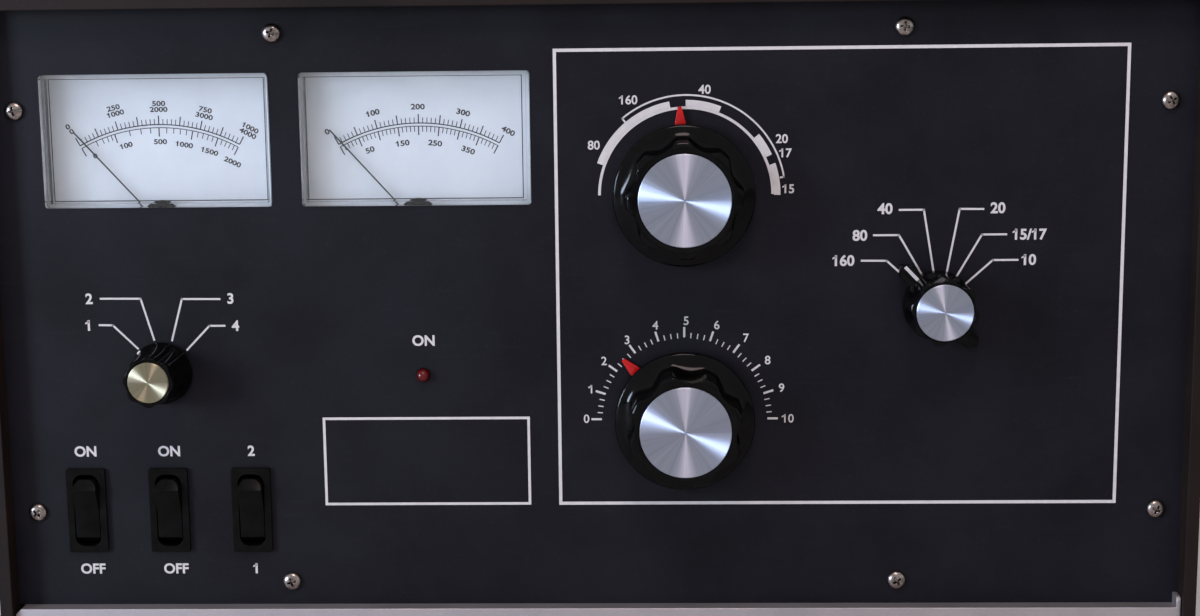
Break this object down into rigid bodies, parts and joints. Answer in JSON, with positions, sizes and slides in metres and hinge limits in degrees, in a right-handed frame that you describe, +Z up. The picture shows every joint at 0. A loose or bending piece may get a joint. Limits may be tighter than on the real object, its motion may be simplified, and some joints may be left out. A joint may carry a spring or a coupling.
{
  "type": "hf linear amplifier",
  "caption": "Table-top radio-frequency power amplifier in a metal cabinet, with meters, tuning knobs, switches, tube, tank circuit, blower and power supply.",
  "frame": {"origin": "middle of the bounding box's underside, on the surface that the feet stand on", "axes": "+X to the right seen from the front, +Y from the front panel to the rear, +Z up"},
  "size_m": [0.4362, 0.466, 0.254],
  "materials": {
    "painted_steel": "fine-textured dark enamel, slightly worn at the edges",
    "panel_paint": "matte black enamel with white legends",
    "bare_steel": "zinc-plated sheet steel",
    "tray_metal": "satin sheet aluminium, dulled",
    "aluminium": "machined or spun aluminium",
    "screw_steel": "nickel-plated steel, tarnished",
    "black_screw": "black oxide",
    "foot_rubber": "moulded black rubber",
    "clear_plastic": "clear moulded acrylic",
    "black_plastic": "black phenolic, satin",
    "dial_white": "white enamel with printed scales",
    "needle_black": "black enamelled aluminium",
    "pointer_red": "red at the tip, black under the knob",
    "brass": "turned brass",
    "lamp_red": "dark red translucent dome",
    "wafer": "glazed ceramic wafers",
    "copper": "bare copper tube",
    "winding": "varnished copper winding under tape",
    "core_iron": "varnished laminations",
    "can_sleeve": "aluminium cans in blue sleeves",
    "circuit_board": "green board with black parts",
    "ceramic": "white ceramic and metal tube",
    "chimney": "white heat-proof sheet",
    "motor_paint": "grey enamel",
    "relay_case": "sealed plastic case",
    "nickel": "nickel-plated brass"
  },
  "bodies": {
    "cabinet": {"cabinet_cover": "painted_steel", "case_screws": "black_screw", "chassis_tray": "tray_metal", "rubber_feet": "foot_rubber", "front_panel": "panel_paint", "panel_screws": "screw_steel", "sub_panel": "bare_steel", "rear_panel": "painted_steel", "rf_partition": "bare_steel", "meter_windows": "clear_plastic", "meter_cases": "black_plastic", "meter_dials": "dial_white", "plate_cap_frame": "aluminium", "load_cap_frame": "aluminium", "reduction_drives": "aluminium", "band_switch": "wafer", "multimeter_switch": "wafer", "switch_bodies": "black_plastic", "indicator_lamp": "lamp_red", "tank_coil": "copper", "rf_choke": "wafer", "amplifier_tube": "ceramic", "air_box": "bare_steel", "tube_socket": "ceramic", "tube_chimney": "chimney", "blower_housing": "bare_steel", "blower_motor": "motor_paint", "transformer_core": "core_iron", "transformer_windings": "winding", "filter_capacitors": "can_sleeve", "power_board": "circuit_board", "control_board": "circuit_board", "antenna_relay": "relay_case", "rear_sockets": "nickel", "fuse_holders": "black_plastic", "ground_post": "brass", "cord_gland": "black_plastic"},
    "plate_tuning": {"plate_pointer": "pointer_red", "plate_cap_rotor": "aluminium"},
    "plate_hand_knob": {"plate_knob": "black_plastic", "plate_knob_insert": "aluminium", "plate_knob_shaft": "brass"},
    "load_tuning": {"load_pointer": "pointer_red", "load_cap_rotor": "aluminium"},
    "load_hand_knob": {"load_knob": "black_plastic", "load_knob_insert": "aluminium", "load_knob_shaft": "brass"},
    "band_selector": {"band_knob": "black_plastic", "band_knob_insert": "aluminium", "band_shaft": "brass"},
    "meter_selector": {"multimeter_knob": "black_plastic", "multimeter_knob_insert": "aluminium", "multimeter_shaft": "brass"},
    "power_rocker": {"rocker_power": "black_plastic"},
    "standby_rocker": {"rocker_standby": "black_plastic"},
    "mode_rocker": {"rocker_mode": "black_plastic"},
    "left_needle": {"meter_needle_left": "needle_black"},
    "right_needle": {"meter_needle_right": "needle_black"},
    "fan": {"blower_wheel": "bare_steel"},
    "ground_nut": {"wing_nut": "nickel"}
  },
  "joints": [
    {"name": "plate_turn", "type": "hinge", "parent": "cabinet", "child": "plate_tuning", "pos_m": [0.0336, -0.20955, 0.183], "axis": [0, 1, 0], "range_deg": [-87.5, 92.5]},
    {"name": "plate_knob_turn", "type": "hinge", "parent": "cabinet", "child": "plate_hand_knob", "pos_m": [0.0336, -0.20955, 0.183], "axis": [0, 1, 0], "range_deg": [-525, 555]},
    {"name": "load_turn", "type": "hinge", "parent": "cabinet", "child": "load_tuning", "pos_m": [0.0336, -0.20955, 0.1023], "axis": [0, 1, 0], "range_deg": [-45, 135]},
    {"name": "load_knob_turn", "type": "hinge", "parent": "cabinet", "child": "load_hand_knob", "pos_m": [0.0336, -0.20955, 0.1023], "axis": [0, 1, 0], "range_deg": [-270, 810]},
    {"name": "band_turn", "type": "hinge", "parent": "cabinet", "child": "band_selector", "pos_m": [0.123, -0.20955, 0.1433], "axis": [0, 1, 0], "range_deg": [0, 100]},
    {"name": "meter_switch_turn", "type": "hinge", "parent": "cabinet", "child": "meter_selector", "pos_m": [-0.1545, -0.20955, 0.1202], "axis": [0, 1, 0], "range_deg": [0, 90]},
    {"name": "power_tilt", "type": "hinge", "parent": "cabinet", "child": "power_rocker", "pos_m": [-0.1842, -0.20755, 0.0693], "axis": [-1, 0, 0], "range_deg": [0, 22]},
    {"name": "standby_tilt", "type": "hinge", "parent": "cabinet", "child": "standby_rocker", "pos_m": [-0.154, -0.20755, 0.0693], "axis": [-1, 0, 0], "range_deg": [0, 22]},
    {"name": "mode_tilt", "type": "hinge", "parent": "cabinet", "child": "mode_rocker", "pos_m": [-0.1238, -0.20755, 0.0693], "axis": [-1, 0, 0], "range_deg": [0, 22]},
    {"name": "left_needle_swing", "type": "hinge", "parent": "cabinet", "child": "left_needle", "pos_m": [-0.1529, -0.20195, 0.1717], "axis": [0, 1, 0], "range_deg": [0, 84], "stiffness_Nm_per_rad": 0.0002, "springref_deg": -28.65},
    {"name": "right_needle_swing", "type": "hinge", "parent": "cabinet", "child": "right_needle", "pos_m": [-0.0609, -0.20195, 0.1717], "axis": [0, 1, 0], "range_deg": [0, 84], "stiffness_Nm_per_rad": 0.0002, "springref_deg": -28.65},
    {"name": "fan_spin", "type": "hinge", "parent": "cabinet", "child": "fan", "pos_m": [0.1, 0.14245, 0.0655], "axis": [1, 0, 0], "continuous": true},
    {"name": "ground_nut_turn", "type": "hinge", "parent": "cabinet", "child": "ground_nut", "pos_m": [0.02, 0.21545, 0.06], "axis": [0, 1, 0], "continuous": true}
  ],
  "couplings": [
    {"joint": "plate_knob_turn", "follows": "plate_turn", "ratio": 6},
    {"joint": "load_knob_turn", "follows": "load_turn", "ratio": 6}
  ]
}
